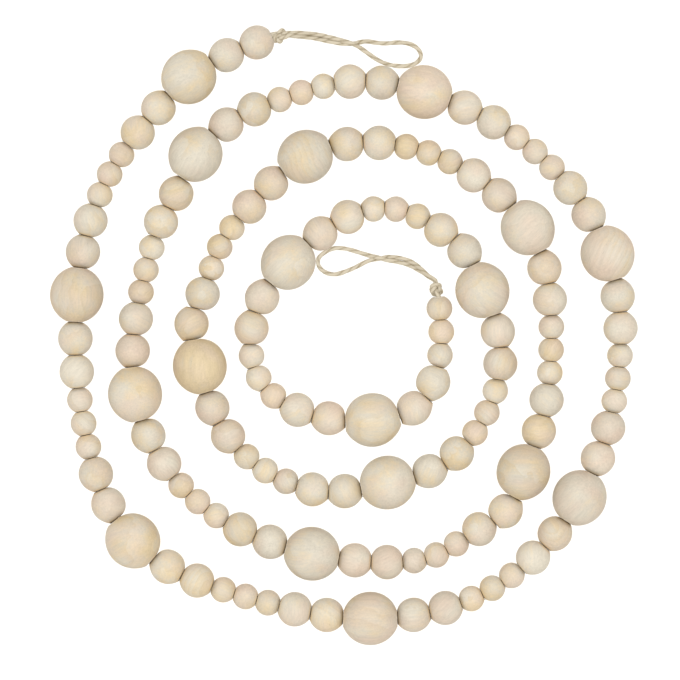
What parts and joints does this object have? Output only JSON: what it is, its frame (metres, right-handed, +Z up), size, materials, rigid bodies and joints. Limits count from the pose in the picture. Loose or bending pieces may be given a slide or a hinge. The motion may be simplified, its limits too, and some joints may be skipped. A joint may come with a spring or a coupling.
{
  "type": "wood bead garland",
  "caption": "String of large, medium and small round wooden beads on twine, lying in a flat open coil, with a knotted hanging loop at each end.",
  "frame": {"origin": "on the table, under the middle of the beads' outline seen from above", "axes": "+Z up from the table, +X to the right and +Y away, seen from above with the outer end at the top left"},
  "size_m": [0.273, 0.288, 0.025],
  "materials": {
    "bead_wood": "bare, sanded, matt",
    "twine": "natural twisted fibre, matt"
  },
  "bodies": {
    "root": {"run_00": "bead_wood", "bead_large_01": "bead_wood", "run_01": "bead_wood", "bead_large_02": "bead_wood", "run_02": "bead_wood", "bead_large_03": "bead_wood", "run_03": "bead_wood", "bead_large_04": "bead_wood", "run_04": "bead_wood", "bead_large_05": "bead_wood", "run_05": "bead_wood", "bead_large_06": "bead_wood", "run_06": "bead_wood", "bead_large_07": "bead_wood", "run_07": "bead_wood", "bead_large_08": "bead_wood", "run_08": "bead_wood", "bead_large_09": "bead_wood", "run_09": "bead_wood", "bead_large_10": "bead_wood", "run_10": "bead_wood", "bead_large_11": "bead_wood", "run_11": "bead_wood", "bead_large_12": "bead_wood", "run_12": "bead_wood", "bead_large_13": "bead_wood", "run_13": "bead_wood", "bead_large_14": "bead_wood", "run_14": "bead_wood", "bead_large_15": "bead_wood", "run_15": "bead_wood", "bead_large_16": "bead_wood", "run_16": "bead_wood", "bead_large_17": "bead_wood", "run_17": "bead_wood", "bead_large_18": "bead_wood", "run_18": "bead_wood", "knot_outer": "twine", "loop_outer": "twine", "knot_inner": "twine", "loop_inner": "twine"}
  },
  "joints": []
}
